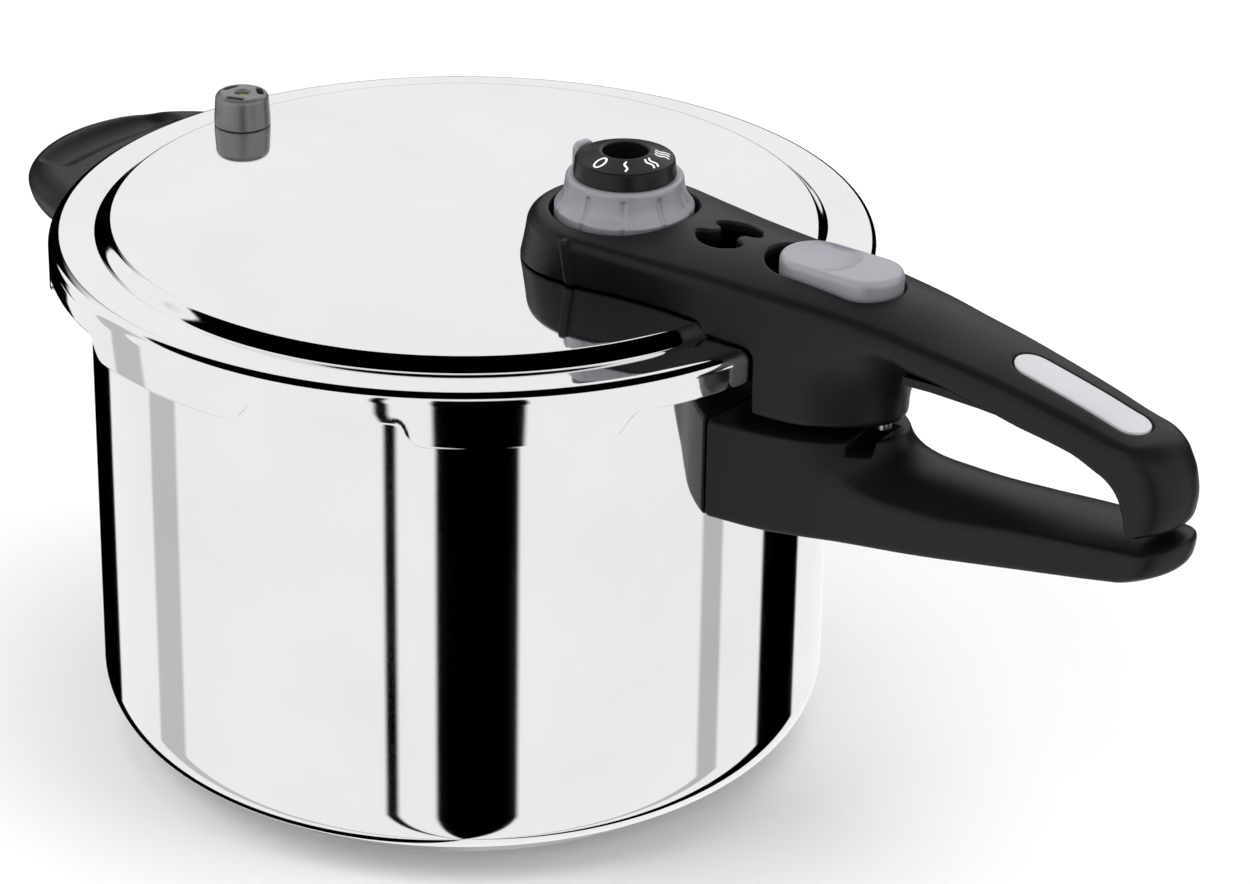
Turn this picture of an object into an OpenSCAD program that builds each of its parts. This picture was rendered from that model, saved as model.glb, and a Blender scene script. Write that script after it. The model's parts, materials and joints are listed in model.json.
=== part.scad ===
// Stovetop pressure cooker: pot, bayonet lid, long handles, valves and lock.
// +Z is up, +X runs along the long handles, the origin is on the pot's axis at its base. Millimetres.

/* [Pot] */
// Outer radius of the pot wall
pot_r = 111; // [106:0.5:116]
// Height of the pot rim above the table
pot_h = 155.1; // [130:1:190]
// Thickness of the pot wall
pot_wall = 1.2; // [1:0.1:1.4]
// Radius of the corner between wall and floor
pot_corner = 17; // [12:1:22]
// Thickness of the encapsulated base
base_h = 6.5; // [5:0.5:8]
// Radius of the base at its top edge
base_r = 94.5; // [88:0.5:95]

/* [Lid and bayonet] */
// Thickness of the lid sheet
lid_t = 1.2; // [1:0.1:1.3]
// Number of tabs on the lid and lugs on the pot
tab_count = 7; // [6:1:7]
// Width of one lid tab in degrees
tab_arc = 29; // [26:0.5:29]
// Width of one pot lug in degrees
lug_arc = 20; // [16:0.5:20.5]
// Direction of the first tab in degrees
tab_start = 7.4; // [6:0.1:9]

/* [Handles] */
// Half width of the upper handle at the knob
nose_half = 28.6; // [28:0.1:29.5]
// Reach of the upper handle past the knob, towards the pot's axis
nose_r = 31.4; // [30.5:0.1:32]
// Half width of the handle's block beside the pot
block_half = 22.5; // [21.5:0.5:24]
// Wall thickness of the hollow handle casing
casing_wall = 3; // [2.5:0.1:3.2]
// Half width of the helper handle
helper_half = 47.5; // [44:0.5:50]

/* [Controls] */
// Distance of the selector knob from the pot's axis
knob_x = 59.4; // [59:0.1:60]
// Radius of the selector dial
dial_r = 15.1; // [14:0.1:16]
// Number of finger grooves round the collar
groove_count = 10; // [6:1:12]
// Length of the lock button
button_l = 38; // [35:0.5:39]
// Width of the lock button
button_w = 21; // [19:0.5:22]
// Travel of the lock button and of its bolt
button_travel = 4; // [3:0.5:4]
// Distance of the pressure indicator from the pot's axis
pin_x = 96.5; // [96:0.1:97]

/* [Hidden] */
$fn = 96;

reach = pot_r - 111;
raise = pot_h - 155.1;
pitch = 360 / tab_count;
lid_r = 122.8;
lid_top = 167.1;
band_z = 163.5;
lid_under = lid_top - lid_t;
valve_x = -96.9;
valve_y = 10.5;
bolt_x = 151.5;
slope = 13.2;

steel = [0.80, 0.81, 0.82];
black = [0.13, 0.13, 0.15];
grey = [0.62, 0.63, 0.66];

// Moves a child with the rim of the pot, towards the long handle.
module at_rim(side = 1) {
    translate([side * reach, 0, raise]) children();
}

// A profile drawn in X and Z, given a width along Y.
module slab(width) {
    rotate([90, 0, 0]) linear_extrude(width, center = true) children();
}

// A flat wedge of the given width in degrees.
module wedge(arc, r) {
    far = r / cos(arc / 2);
    polygon([[0, 0], [far * cos(arc / 2), -far * sin(arc / 2)], [far * cos(arc / 2), far * sin(arc / 2)]]);
}

// A ring with a rectangular section.
module ring(r_in, r_out, z0, z1) {
    translate([0, 0, z0]) difference() {
        cylinder(h = z1 - z0, r = r_out);
        translate([0, 0, -1]) cylinder(h = z1 - z0 + 2, r = r_in);
    }
}

// The same ring, cut to equal sectors over the lid's tabs.
module sectors(r_in, r_out, z0, z1, arc) {
    for (i = [0 : tab_count - 1]) {
        intersection() {
            ring(r_in, r_out, z0, z1);
            rotate([0, 0, tab_start + i * pitch])
                translate([0, 0, z0 - 1]) linear_extrude(z1 - z0 + 2) wedge(arc, r_out + 8);
        }
    }
}

// A plan shape with two round ends.
module stadium(length, width) {
    gap = (length - width) / 2;
    translate([-gap, -width / 2]) square([2 * gap, width]);
    translate([-gap, 0]) circle(d = width);
    translate([gap, 0]) circle(d = width);
}

// A coil spring of flat wire.
module coil(r, wire, z0, z1, turns) {
    r_in = r - wire / 2;
    r_out = r + wire / 2;
    steps = [0, 30, 60, 90];
    translate([0, 0, z0]) linear_extrude(z1 - z0, twist = -360 * turns, slices = 16 * turns, $fn = 4)
        polygon(concat([for (a = steps) r_out * [cos(a), sin(a)]],
            [for (a = steps) r_in * [cos(90 - a), sin(90 - a)]]));
}

// A screw with a round head, its tip up, standing on z = 0.
module screw_up(r, length, head_r, head_h) {
    cylinder(h = head_h, r = head_r);
    cylinder(h = length, r = r);
}

/* Pot */

module pot_outline(shrink, top) {
    r = pot_r - shrink;
    corner = pot_corner - shrink;
    floor_z = base_h + shrink;
    translate([0, floor_z]) square([r - corner, corner + 1]);
    translate([0, floor_z + corner]) square([r, top - floor_z - corner]);
    translate([r - corner, floor_z + corner]) circle(r = corner);
}

module pot_body() {
    color(steel) {
        rotate_extrude() intersection() {
            difference() {
                pot_outline(0, pot_h);
                pot_outline(pot_wall, pot_h + 1);
            }
            square([pot_r + 1, pot_h + 1]);
        }
        translate([0, 0, raise]) {
            ring(pot_r - 0.6, 115 + reach, 153.6, 155.1);
            sectors(pot_r + 3, 119.6 + reach, 153.6, 155.1, lug_arc);
        }
    }
}

module base_core() {
    color([0.75, 0.76, 0.78])
        translate([0, 0, 0.8]) cylinder(h = base_h - 0.85, r1 = base_r - 4.6, r2 = base_r - 1.3);
}

module base_cap() {
    color([0.66, 0.66, 0.67]) difference() {
        cylinder(h = base_h, r1 = base_r - 4, r2 = base_r);
        translate([0, 0, 0.75]) cylinder(h = base_h, r1 = base_r - 4.3, r2 = base_r - 0.6);
    }
}

/* Lower handle, on the pot */

module lower_side() {
    polygon([[108, 139.9], [108, 111.5], [110.5, 109], [135, 109.6], [163, 112.6], [192, 116.9],
        [222, 121.9], [240, 124.8], [247, 127.2], [250, 131], [250.6, 134.6], [248.5, 137],
        [244, 136.4], [221, 135.3], [207, 134.9], [176, 134.2], [162, 135.5], [157.5, 137.2],
        [156.4, 139.9]]);
}

module lower_plan() {
    polygon([[100, 25], [109, 24], [125, block_half + 0.5], [137, 21], [150, 19], [180, 17.4],
        [200, 16], [223, 15], [240, 12.5], [247, 8.5], [250.6, 4], [250.6, -4], [247, -8.5],
        [240, -12.5], [223, -15], [200, -16], [180, -17.4], [150, -19], [137, -21],
        [125, -block_half - 0.5], [109, -24], [100, -25]]);
}

module post_plan() {
    polygon(concat([[110, -21.6]], [for (t = [-6 : 6]) [157.4 - 21.4 * pow(t / 6, 2), 21.6 * t / 6]],
        [[110, 21.6]]));
}

module lower_handle() {
    color(black) at_rim() difference() {
        intersection() {
            slab(60) lower_side();
            translate([0, 0, 100]) linear_extrude(60) lower_plan();
        }
        // The top of the block has a rounded end.
        difference() {
            translate([136, -30, 134]) cube([40, 60, 10]);
            translate([0, 0, 130]) linear_extrude(20) post_plan();
        }
        translate([-reach, 0, 100]) cylinder(h = 60, r = pot_r + 0.1);
        translate([108, -9, 117.9]) cube([28.1, 18, 10.2]);
        translate([100, -15.1, 112.9]) cube([12.5, 30.2, 22.2]);
        translate([128, 0, 105]) cylinder(h = 25, r = 2.7);
        translate([128, 0, 105]) cylinder(h = 9, r = 5);
        // The notch that the lock bolt drops into, open on one side.
        translate([bolt_x - 3.1, -25, 136.4]) cube([6.2, 28.1, 10]);
    }
}

module lower_handle_bracket() {
    color(steel) at_rim() difference() {
        union() {
            translate([-reach, 0, 113]) intersection() {
                ring(pot_r + 0.02, pot_r + 1.4, 0, 22);
                translate([90, -15, 0]) cube([40, 30, 22]);
            }
            translate([111.8, -8.9, 118]) cube([24, 17.8, 10]);
        }
        translate([110, -7.4, 119.5]) cube([30, 14.8, 7]);
        translate([128, 0, 115]) cylinder(h = 16, r = 2.1);
    }
}

module lower_handle_screw() {
    color(steel) at_rim() translate([128, 0, 110.8]) screw_up(2.05, 18.4, 4.7, 3.1);
}

/* Helper handle, opposite */

module helper_handle() {
    color(black) at_rim(-1) difference() {
        intersection() {
            slab(120) polygon([[-108, 146.1], [-108, 132.6], [-126, 132.2], [-140, 134.4],
                [-150, 137.2], [-156, 140.6], [-160, 144.8], [-161.6, 149], [-161, 152],
                [-158.6, 154.2], [-124.2, 154.2], [-124.2, 146.1]]);
            translate([-114, 0, 120]) cylinder(h = 40, r = helper_half);
        }
        translate([reach, 0, 120]) cylinder(h = 40, r = pot_r + 0.1);
        translate([reach, 0, 146.1]) cylinder(h = 20, r = 124.2 + reach);
        intersection() {
            rotate_extrude() translate([147, 159.4]) circle(r = 9);
            translate([-170, -27, 140]) cube([40, 54, 20]);
        }
        translate([-135, -9, 136.9]) cube([27, 18, 7.2]);
        translate([-112.5, -17.1, 132.5]) cube([12.5, 34.2, 12.7]);
        translate([-126, 0, 120]) cylinder(h = 26, r = 2.7);
        translate([-126, 0, 120]) cylinder(h = 14.6, r = 5);
    }
}

module helper_bracket() {
    color(steel) at_rim(-1) difference() {
        union() {
            translate([reach, 0, 132.6]) intersection() {
                ring(pot_r + 0.02, pot_r + 1.4, 0, 12.4);
                translate([-130, -17, 0]) cube([40, 34, 12.4]);
            }
            translate([-134.9, -8.9, 137]) cube([23.1, 17.8, 7]);
        }
        translate([-136, -7.4, 138.5]) cube([26, 14.8, 4]);
        translate([-126, 0, 130]) cylinder(h = 16, r = 2.1);
    }
}

module helper_screws() {
    color(steel) at_rim(-1) translate([-126, 0, 131.5]) screw_up(2.05, 13.6, 4.7, 3);
}

/* Lid */

module lid_section() {
    top = lid_top;
    polygon([[0, top], [103.6, top], [105, top - 0.3], [107.6, band_z + 0.3], [109, band_z],
        [lid_r - 3.5, band_z], [lid_r - 3.5, band_z - lid_t], [108.7, band_z - lid_t],
        [107, band_z + 0.2 - lid_t], [104.2, top - 0.3 - lid_t], [103.2, top - lid_t],
        [0, top - lid_t]]);
    intersection() {
        translate([lid_r - 3.5, band_z - 3.5]) difference() {
            circle(r = 3.5);
            circle(r = 3.5 - lid_t);
        }
        translate([lid_r - 3.6, band_z - 3.5]) square(5);
    }
    translate([lid_r - lid_t, 153.5]) square([lid_t, band_z - 3.5 - 153.5]);
}

module lid() {
    color(steel) translate([0, 0, raise]) difference() {
        union() {
            rotate_extrude() lid_section();
            sectors(lid_r - lid_t, lid_r, 147, 153.6, tab_arc);
            sectors(116.5, lid_r, 147, 147 + lid_t, tab_arc);
            sectors(116.5, 116.5 + lid_t, 147, 153, tab_arc);
        }
        translate([knob_x, 0, 150]) cylinder(h = 30, r = 5.1);
        translate([pin_x, 0, 150]) cylinder(h = 30, r = 3.4);
        translate([valve_x, valve_y, 150]) cylinder(h = 30, r = 4.6);
    }
}

module gasket() {
    color([0.30, 0.30, 0.32]) translate([0, 0, raise]) rotate_extrude()
        polygon([[110.2, 155.3], [114.6, 155.3], [115.6, 157.6], [121.2, 157.6], [121.2, 159.7],
            [119.3, 161.9], [109.6, 161.9], [108.4, 160.4], [109.4, 157.2]]);
}

module lid_handle_bracket() {
    color(steel) at_rim() difference() {
        union() {
            translate([109.2, -13, band_z]) cube([9.4, 26, 1.6]);
            translate([117, -13, band_z]) cube([1.6, 26, 4.6]);
            translate([117, -13, band_z + 3]) cube([17.5, 26, 1.6]);
            translate([130, 0, band_z + 4.6]) cylinder(h = 3, r = 4.2);
        }
        translate([130, 0, 160]) cylinder(h = 20, r = 2.1);
    }
}

module bracket_screw() {
    color(steel) at_rim() translate([130, 0, 145.4]) screw_up(2.05, 25, 4.6, 3);
}

/* Upper handle, on the lid */

module beam_side() {
    polygon([[28, 167.5], [28.6, 176], [31.5, 182], [37, 185], [50, 185.6], [97, 185.4],
        [120, 184.8], [135, 184.3], [150, 183.2], [161, 181.4], [175, 178.3], [190, 174.8],
        [205, 171.3], [219, 168.2], [230, 166.2], [240, 165], [246, 164.4], [248.6, 161.4],
        [250, 154], [250.4, 148], [249.4, 143.4], [246, 141], [238.6, 138.8], [236.9, 139.8],
        [235.4, 147], [233, 153.4], [228.5, 157.2], [219, 159.4], [205, 161], [190, 162.4],
        [175, 163.3], [166, 163.3], [160, 162.4], [124, 162.4], [124, 163.9], [107.4, 163.9],
        [103.8, 167.5]]);
}

module beam_plan() {
    polygon([[knob_x, nose_half], [67, 28.4], [87, 26.4], [101, 24.6], [131, 21.9], [161, 19], [190, 16],
        [219, 14], [235, 12.8], [244, 11.2], [248.4, 8], [250.4, 4], [250.4, -4], [248.4, -8],
        [244, -11.2], [235, -12.8], [219, -14], [190, -16], [161, -19], [131, -21.9],
        [101, -24.6], [87, -26.4], [67, -28.4], [knob_x, -nose_half]]);
    intersection() {
        translate([knob_x, 0]) circle(r = nose_r);
        translate([20, -nose_half]) square([60, 2 * nose_half]);
    }
}

module block() {
    translate([0, 0, 143.9]) linear_extrude(20) {
        translate([110, -block_half]) square([26, 2 * block_half]);
        post_plan();
    }
}

// A round window with a bite on two sides.
module window() {
    rotate(-5) difference() {
        circle(r = 9.4);
        for (side = [-1, 1]) {
            translate([side * 6.2, 0]) circle(r = 2.7);
            translate([side * 9.2 - 3, -2.7]) square([6, 5.4]);
        }
    }
}

module casing_voids() {
    // The well round the knob, with a spigot that the collar turns on.
    translate([knob_x, 0, 0]) {
        ring(15, 22, 176, 190);
        translate([0, 0, 165]) cylinder(h = 30, r = 13);
    }
    // The hollow over the lid, with four bosses for the base's screws.
    difference() {
        translate([0, 0, 160]) linear_extrude(13.5) intersection() {
            translate([casing_wall + 29, -19]) square([84, 38]);
            union() {
                translate([knob_x, 0]) circle(r = 24.3);
                translate([knob_x, -19]) square([56.6, 38]);
            }
        }
        at_base_screws() translate([0, 0, 171.1]) cylinder(h = 10, r = 3.4);
    }
    at_base_screws() translate([0, 0, 171]) cylinder(h = 3.4, r = 1.6);
    translate([86, -17, 172]) cube([26, 34, 9.4]);
    // Room for the slider, its cheeks and the bolt's head.
    translate([111, -10, 166]) cube([49.8, 20, 13]);
    // The button's opening and the window.
    translate([133, 0, 176]) linear_extrude(20) stadium(button_l + 5, button_w + 0.8);
    translate([pin_x, 0, 178]) linear_extrude(10) window();
    // The bolt's way down, and room for the bracket and its screw.
    translate([bolt_x, 0, 140]) cylinder(h = 30, r = 2.8);
    translate([bolt_x, 0, 140]) cylinder(h = 12, r = 4.05);
    translate([108.4, -13.4, 160]) cube([26.6, 26.8, 8.6]);
    translate([130, 0, 140]) cylinder(h = 30, r = 2.6);
    translate([130, 0, 160]) cylinder(h = 11.6, r = 4.6);
    translate([130, 0, 140]) cylinder(h = 8.5, r = 4.9);
}

module at_base_screws() {
    for (x = [45, 82], y = [-13, 13]) translate([x, y, 0]) children();
}

module grip_hollow(inset) {
    translate([0, 0, 140]) linear_extrude(60)
        polygon([[166, 14.6 - inset], [190, 12.6 - inset], [219, 10.6 - inset], [226, 10 - inset],
            [226, inset - 10], [219, inset - 10.6], [190, inset - 12.6], [166, inset - 14.6]]);
}

module handle_casing() {
    color(black) at_rim() difference() {
        union() {
            intersection() {
                slab(70) beam_side();
                translate([0, 0, 130]) linear_extrude(60) beam_plan();
            }
            intersection() {
                block();
                slab(70) polygon([[124, 143.9], [153, 144.2], [157.4, 147.6], [157.4, 164], [124, 164]]);
            }
        }
        translate([-reach, 0, 140]) cylinder(h = 22.6, r = lid_r + 0.9);
        casing_voids();
        // The hollow of the grip, open below, with two bosses for the cover's screws.
        difference() {
            intersection() {
                grip_hollow(0);
                slab(40) polygon([[166, 160], [226, 150], [226, 163.6], [205, 167.6], [190, 170.8],
                    [175, 173.4], [166, 175.4]]);
            }
            translate([172, 0, 166.1]) cylinder(h = 12, r = 3.6);
            translate([215, 0, 163.2]) cylinder(h = 12, r = 3.6);
        }
        translate([172, 0, 166]) cylinder(h = 6.5, r = 1.6);
        translate([215, 0, 162]) cylinder(h = 3.1, r = 1.6);
        // The seat of the blank name plate.
        translate([214.8, 0, 169.2]) rotate([0, slope, 0])
            translate([0, 0, -1.4]) linear_extrude(6) stadium(43, 12.4);
    }
}

module handle_base() {
    color([0.2, 0.2, 0.22]) at_rim() difference() {
        union() {
            translate([0, 0, 167.5]) linear_extrude(2) intersection() {
                translate([casing_wall + 29.4, -18.7]) square([69.6, 37.4]);
                union() {
                    translate([knob_x, 0]) circle(r = 24);
                    translate([knob_x, -18.7]) square([50, 37.4]);
                }
            }
            at_base_screws() translate([0, 0, 169]) cylinder(h = 2, r = 3.4);
            ring_at(pin_x, 2.45, 5, 169, 174.6);
        }
        translate([knob_x, 0, 160]) cylinder(h = 20, r = 5.1);
        translate([pin_x, 0, 160]) cylinder(h = 20, r = 2.45);
        at_base_screws() {
            translate([0, 0, 160]) cylinder(h = 20, r = 1.6);
            translate([0, 0, 160]) cylinder(h = 9.4, r = 2.9);
        }
    }
}

module ring_at(x, r_in, r_out, z0, z1) {
    translate([x, 0, 0]) ring(r_in, r_out, z0, z1);
}

module handle_base_screws() {
    color(steel) at_rim()
        at_base_screws() translate([0, 0, 167.6]) screw_up(1.5, 6.4, 2.7, 1.8);
}

module grip_cover() {
    color(black) at_rim() difference() {
        intersection() {
            grip_hollow(0.15);
            slab(40) polygon([[166.2, 163.4], [175, 163.4], [190, 162.5], [205, 161.1], [219, 159.5],
                [225.8, 158.4], [225.8, 160.9], [219, 162], [205, 163.6], [190, 165], [175, 165.8],
                [166.2, 165.9]]);
        }
        for (x = [172, 215]) translate([x, 0, 150]) cylinder(h = 30, r = 1.6);
    }
}

module grip_cover_screws() {
    color(steel) at_rim() {
        translate([172, 0, 161.9]) screw_up(1.5, 10, 2.7, 1.4);
        translate([215, 0, 158.2]) screw_up(1.5, 6.6, 2.7, 1.4);
    }
}

module name_plate() {
    color([0.78, 0.79, 0.80]) at_rim() translate([214.8, 0, 169.2]) rotate([0, slope, 0])
        translate([0, 0, -1.35]) linear_extrude(1.6) stadium(42.6, 12);
}

/* Selector and steam regulator */

module selector_collar() {
    color(grey) at_rim() translate([knob_x, 0, 0]) difference() {
        union() {
            translate([0, 0, 176.4]) cylinder(h = 8.4, r = 20.3);
            translate([0, 0, 184.8]) cylinder(h = 3.2, r1 = 20.3, r2 = 17.8);
            translate([0, 0, 188]) cylinder(h = 7.4, r1 = 17.8, r2 = 16.9);
            // The pointer.
            rotate([0, 0, 173]) translate([14, -4, 186]) cube([5.2, 8, 12.4]);
        }
        translate([0, 0, 170]) cylinder(h = 16.6, r = 15.08);
        translate([0, 0, 180]) cylinder(h = 30, r = 12.3);
        translate([0, 0, 195.4]) cylinder(h = 10, r = dial_r + 0.2);
        for (i = [0 : groove_count - 1]) rotate([0, 0, i * 360 / groove_count + 18])
            translate([20.6, 0, 186]) rotate([0, -14, 0]) translate([0, 0, -4]) cylinder(h = 16, r = 1, $fn = 24);
    }
}

module selector_dial() {
    color([0.08, 0.08, 0.09]) at_rim() translate([knob_x, 0, 0]) difference() {
        union() {
            translate([0, 0, 195.5]) cylinder(h = 4.7, r1 = dial_r, r2 = dial_r - 0.5);
            translate([0, 0, 200.2]) cylinder(h = 1, r1 = dial_r - 0.5, r2 = dial_r - 1.6);
            translate([0, 0, 190.5]) cylinder(h = 6, r = 12.2);
        }
        translate([0, 0, 185]) cylinder(h = 20, r = 6.6);
    }
}

module dial_marks() {
    color([0.92, 0.92, 0.92]) at_rim() translate([knob_x, 0, 201.2]) {
        rotate([0, 0, -75]) translate([10.2, 0, 0]) difference() {
            cylinder(h = 0.2, r = 1.3);
            translate([0, 0, -1]) cylinder(h = 2, r = 0.8);
        }
        for (i = [0 : 2]) rotate([0, 0, -45 + 30 * i]) translate([9, 0, 0]) {
            for (k = [0 : i]) translate([0.5 + k * 1.05, -1.2, 0]) cube([0.5, 2.4, 0.2]);
        }
    }
}

module steam_nozzle() {
    color(steel) at_rim() translate([knob_x, 0, 0]) difference() {
        union() {
            translate([0, 0, 159]) cylinder(h = 15, r = 4.9);
            translate([0, 0, 169.6]) cylinder(h = 1.8, r = 9.4);
            translate([0, 0, 171.4]) cylinder(h = 4.5, r1 = 4.9, r2 = 3.2);
        }
        translate([0, 0, 150]) cylinder(h = 30, r = 1.6);
    }
}

module nozzle_seal() {
    color([0.25, 0.25, 0.27]) at_rim() ring_at(knob_x, 5, 9, lid_under - 1.25, lid_under - 0.05);
}

module nozzle_nut() {
    color(steel) at_rim() translate([knob_x, 0, 160.2]) difference() {
        cylinder(h = 4.3, r = 9.2, $fn = 6);
        translate([0, 0, -1]) cylinder(h = 8, r = 4.95);
    }
}

module regulator_weight() {
    color(steel) at_rim() translate([knob_x, 0, 0]) {
        difference() {
            translate([0, 0, 173.4]) cylinder(h = 6.8, r = 9.4);
            translate([0, 0, 170]) cylinder(h = 6.1, r = 6.6);
        }
        translate([0, 0, 180.2]) cylinder(h = 11, r = 5.6);
    }
}

module regulator_spring() {
    color(steel) at_rim() translate([knob_x, 0, 0]) coil(7.6, 1.2, 180.3, 190.4, 3.5);
}

/* Lock button, slider and bolt */

module lock_button() {
    color(grey) at_rim() difference() {
        translate([135.2, 0, 178.3]) linear_extrude(8.4) stadium(button_l, button_w);
        intersection() {
            translate([129.6, 0, 186.7 + 46.6]) sphere(r = 48);
            translate([131, 0, 180]) linear_extrude(20) stadium(25, button_w - 4);
        }
    }
}

module cheek(y) {
    drop = button_travel * sqrt(2);
    translate([0, y, 0]) slab(2) difference() {
        translate([144.6, 166.4]) square([14.4, 9.8]);
        translate([bolt_x, 173.3]) rotate(-45) translate([drop / 2, 0]) stadium(drop + 3.6, 3.6);
    }
}

module lock_slider() {
    color([0.25, 0.25, 0.27]) at_rim() {
        difference() {
            translate([117, -8.2, 176]) cube([42.8, 16.4, 2.2]);
            translate([118, -4, 170]) cube([18, 8, 20]);
        }
        cheek(-6.2);
        cheek(6.2);
    }
}

module lock_bolt() {
    color(steel) at_rim() translate([bolt_x, 0, 0]) {
        translate([0, 0, 141]) cylinder(h = 33, r = 2.5);
        translate([-2.6, -4.6, 170.6]) cube([5.2, 9.2, 4.6]);
        translate([0, 0, 173.3]) rotate([90, 0, 0]) cylinder(h = 14.6, r = 1.5, center = true);
    }
}

module bolt_bush() {
    color(steel) at_rim() ring_at(bolt_x, 2.56, 4, 144.1, 151.9);
}

/* Pressure indicator */

module indicator_pin() {
    color([0.75, 0.35, 0.1]) at_rim() translate([pin_x, 0, 0]) {
        translate([0, 0, 158.4]) cylinder(h = 17, r = 2.2);
        translate([0, 0, 158.4]) cylinder(h = 1.4, r = 4.6);
        translate([0, 0, 174.8]) cylinder(h = 2.4, r = 4.4);
    }
}

module indicator_seal() {
    color([0.25, 0.25, 0.27]) at_rim() ring_at(pin_x, 2.3, 4.2, 159.9, 161.4);
}

/* Safety valve */

module at_valve() {
    at_rim(-1) translate([valve_x, valve_y, 0]) children();
}

module safety_valve_cap() {
    color([0.60, 0.61, 0.63]) at_valve() difference() {
        union() {
            translate([0, 0, lid_top + 0.05]) cylinder(h = 8.05, r = 8.7);
            translate([0, 0, 175.6]) cylinder(h = 1.9, r1 = 8.7, r2 = 7);
            translate([0, 0, 158.6]) cylinder(h = 10, r = 4.5);
        }
        translate([0, 0, 161]) cylinder(h = 14.6, r = 3.3);
        translate([0, 0, 150]) cylinder(h = 40, r = 1.9);
        for (i = [0 : 2]) rotate([0, 0, 50 + 120 * i])
            translate([2.6, -3, 174.4]) cube([3.8, 6, 5]);
    }
}

module safety_valve_plunger() {
    color([0.72, 0.6, 0.3]) at_valve() {
        translate([0, 0, 158.9]) cylinder(h = 17.6, r = 1.6);
        translate([0, 0, 161.2]) cylinder(h = 1.6, r = 3.05);
    }
}

module safety_valve_spring() {
    color(steel) at_valve() coil(2.55, 0.7, 162.9, 175.5, 5);
}

module safety_valve_seal() {
    color([0.25, 0.25, 0.27]) at_valve() ring(4.6, 5.6, lid_under - 1.25, lid_under - 0.05);
}

module safety_valve_nut() {
    color(steel) at_valve() translate([0, 0, 160.8]) difference() {
        cylinder(h = 3.8, r = 7.2, $fn = 6);
        translate([0, 0, -1]) cylinder(h = 8, r = 4.55);
    }
}

pot_body();
base_core();
base_cap();
lower_handle();
lower_handle_bracket();
lower_handle_screw();
helper_handle();
helper_bracket();
helper_screws();
lid();
lid_handle_bracket();
bracket_screw();
gasket();
handle_casing();
handle_base();
handle_base_screws();
grip_cover();
grip_cover_screws();
name_plate();
selector_collar();
selector_dial();
dial_marks();
steam_nozzle();
nozzle_seal();
nozzle_nut();
regulator_weight();
regulator_spring();
lock_button();
lock_slider();
lock_bolt();
bolt_bush();
indicator_pin();
indicator_seal();
safety_valve_cap();
safety_valve_plunger();
safety_valve_spring();
safety_valve_seal();
safety_valve_nut();
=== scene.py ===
"""Looks of the stovetop pressure cooker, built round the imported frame.

Shapes are worked out in millimetres in the frame's own axes and turned into metres when a mesh is made.
Moulded parts are signed-distance fields turned into meshes, and turned parts are lathe sections.
"""

import functools
import json
import math

import bmesh
import bpy
import numpy as np
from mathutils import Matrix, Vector


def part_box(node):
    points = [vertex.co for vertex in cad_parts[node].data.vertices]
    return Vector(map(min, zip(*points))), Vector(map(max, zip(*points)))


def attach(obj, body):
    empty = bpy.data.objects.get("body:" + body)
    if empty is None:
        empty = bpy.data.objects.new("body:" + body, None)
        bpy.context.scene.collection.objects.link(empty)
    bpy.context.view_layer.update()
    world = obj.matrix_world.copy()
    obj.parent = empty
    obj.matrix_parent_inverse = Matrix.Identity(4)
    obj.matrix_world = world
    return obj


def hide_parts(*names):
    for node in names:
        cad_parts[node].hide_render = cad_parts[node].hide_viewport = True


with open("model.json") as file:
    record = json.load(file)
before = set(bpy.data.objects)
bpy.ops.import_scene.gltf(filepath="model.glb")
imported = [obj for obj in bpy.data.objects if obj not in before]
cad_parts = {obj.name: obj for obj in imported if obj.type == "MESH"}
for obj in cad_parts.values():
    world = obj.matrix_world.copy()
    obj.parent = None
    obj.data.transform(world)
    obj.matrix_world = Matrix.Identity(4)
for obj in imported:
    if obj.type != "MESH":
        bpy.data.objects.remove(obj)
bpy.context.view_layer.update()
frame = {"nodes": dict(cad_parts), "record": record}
MM = 0.001


# ---------------------------------------------------------------- places taken from the frame


def low(node):
    return np.array(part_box(node)[0]) / MM


def high(node):
    return np.array(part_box(node)[1]) / MM


def middle(node):
    return (low(node) + high(node)) / 2


KNOB_X = middle("selector_dial")[0]
PIN_X = middle("indicator_pin")[0]
BOLT_X = middle("lock_bolt")[0]
VALVE_X, VALVE_Y = middle("safety_valve_cap")[:2]
LID_R = high("lid")[0]
LID_TOP = high("lid")[2]
LID_TAB_Z = low("lid")[2]
POT_TOP = high("pot_body")[2]
LUG_R = high("pot_body")[0]
BUTTON_X = middle("lock_button")[0]
PLATE_X = middle("name_plate")[0]
DIAL_TOP = high("selector_dial")[2]
CAP_TOP = high("safety_valve_cap")[2]

POT_R = 111.0
POT_WALL = 1.2
SHEET = 1.2  # the lid's metal
BAND_DROP = 3.6  # from the lid's plate down to the band round it
BAND_Z = LID_TOP - BAND_DROP
PITCH = 360 / 7  # between the bayonet tabs
TAB_START = 7.4  # where the first tab's middle is, in degrees
MATE_GAP = 0.12  # between a pot handle and the pot


# ---------------------------------------------------------------- fields


def smin(a, b, k):
    """The smaller of two fields, with a fillet about as large as k where they meet."""
    h = np.maximum(k - np.abs(a - b), 0) / k
    return np.minimum(a, b) - h * h * k / 4


def smax(a, b, k):
    h = np.maximum(k - np.abs(a - b), 0) / k
    return np.maximum(a, b) + h * h * k / 4


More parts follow.
